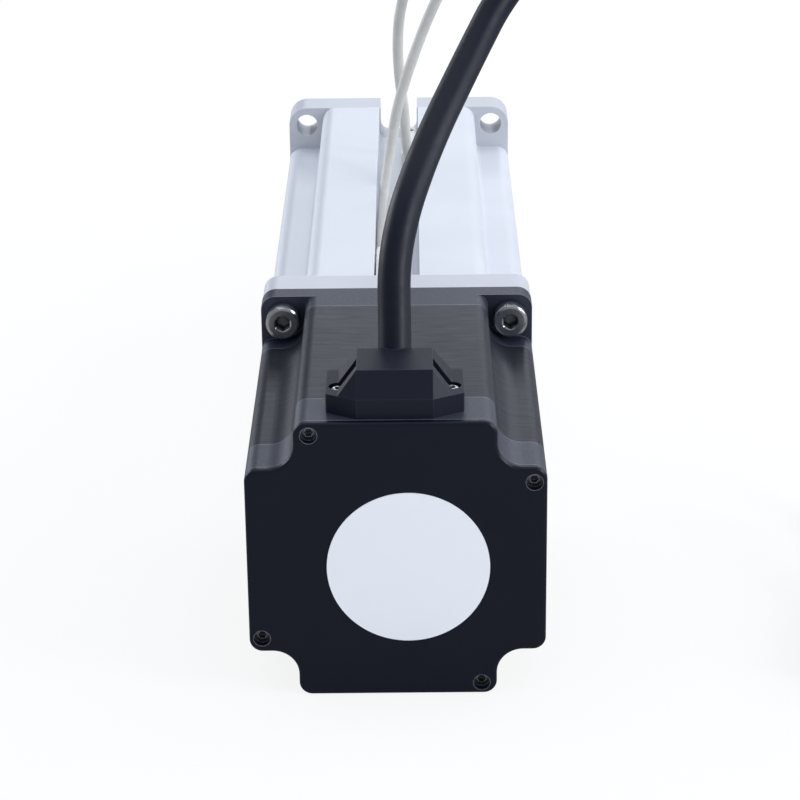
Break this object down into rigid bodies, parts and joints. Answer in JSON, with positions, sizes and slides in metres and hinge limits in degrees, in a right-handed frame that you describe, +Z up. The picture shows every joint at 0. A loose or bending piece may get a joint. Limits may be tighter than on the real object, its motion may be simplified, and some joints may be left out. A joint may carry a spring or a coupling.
{
  "type": "electric cylinder",
  "caption": "Rod-type electric cylinder: a square stepper motor turns a lead screw that pushes a round rod out of an extruded barrel.",
  "frame": {"origin": "centre of the front flange's mounting face, on the rod's axis", "axes": "+Y along the rod's axis in the direction in which it comes out, +X to the right seen from the motor, +Z up; the groove with the sensors faces up"},
  "size_m": [0.1237, 0.2582, 0.138],
  "materials": {
    "anodised_aluminium": "clear anodised, matt",
    "machined_aluminium": "machined",
    "grey_cast_aluminium": "grey, smooth",
    "lamination_steel": "brushed across, grey",
    "black_steel": "black satin",
    "white_label": "white, plain",
    "bright_steel": "bright",
    "bearing_steel": "ground",
    "spring_steel": "blued",
    "copper_winding": "enamelled copper wire",
    "rotor_steel": "laminated",
    "magnet": "sintered",
    "chromed_steel": "hard chromed",
    "bronze": "bronze",
    "rubber_black": "black",
    "plastic_black": "black moulded",
    "plastic_natural": "natural",
    "sensor_plastic": "pale",
    "cable_black": "black jacket",
    "cable_grey": "pale grey jacket"
  },
  "bodies": {
    "base": {"rear_cover": "black_steel", "round_label": "white_label", "tie_rods": "black_steel", "motor_rear_cap": "grey_cast_aluminium", "motor_front_cap": "grey_cast_aluminium", "bearing_outer_rings": "bearing_steel", "bearing_balls": "bearing_steel", "bearing_spring": "spring_steel", "bearing_circlip": "spring_steel", "stator_stack": "lamination_steel", "stator_windings": "copper_winding", "motor_screws": "bright_steel", "adapter_plate": "anodised_aluminium", "plate_screws": "bright_steel", "barrel": "anodised_aluminium", "front_flange": "anodised_aluminium", "flange_screws": "bright_steel", "rod_bush": "bronze", "rod_wiper": "rubber_black", "rear_bumper": "rubber_black", "front_bumper": "rubber_black", "cable_gland": "plastic_black", "gland_screws": "bright_steel", "rear_sensor": "sensor_plastic", "front_sensor": "sensor_plastic", "sensor_screws": "bright_steel", "motor_cable": "cable_black", "motor_cable_plug": "plastic_black", "rear_sensor_cable": "cable_grey", "front_sensor_cable": "cable_grey"},
    "drive": {"bearing_inner_rings": "bearing_steel", "rotor_stacks": "rotor_steel", "rotor_magnet": "magnet", "screw_shaft": "bright_steel", "bearing_lock_nut": "bright_steel", "screw_tip_bush": "plastic_natural", "screw_tip_clip": "spring_steel"},
    "rod": {"rod_carrier": "machined_aluminium", "guide_ring": "plastic_natural", "magnet_ring": "magnet", "anti_turn_key": "bronze", "key_screws": "bright_steel", "screw_nut": "bronze", "nut_ring": "bright_steel", "rod_tube": "chromed_steel", "rod_end": "bright_steel", "rod_lock_nut": "bright_steel"}
  },
  "joints": [
    {"name": "screw_spin", "type": "hinge", "parent": "base", "child": "drive", "pos_m": [0, -0.15, 0], "axis": [0, -1, 0], "range_deg": [0, 4800]},
    {"name": "rod_extend", "type": "slide", "parent": "base", "child": "rod", "axis": [0, 1, 0], "range_m": [0, 0.08]}
  ],
  "couplings": [
    {"joint": "rod_extend", "follows": "screw_spin", "m_per_rad": 0.00095483}
  ]
}
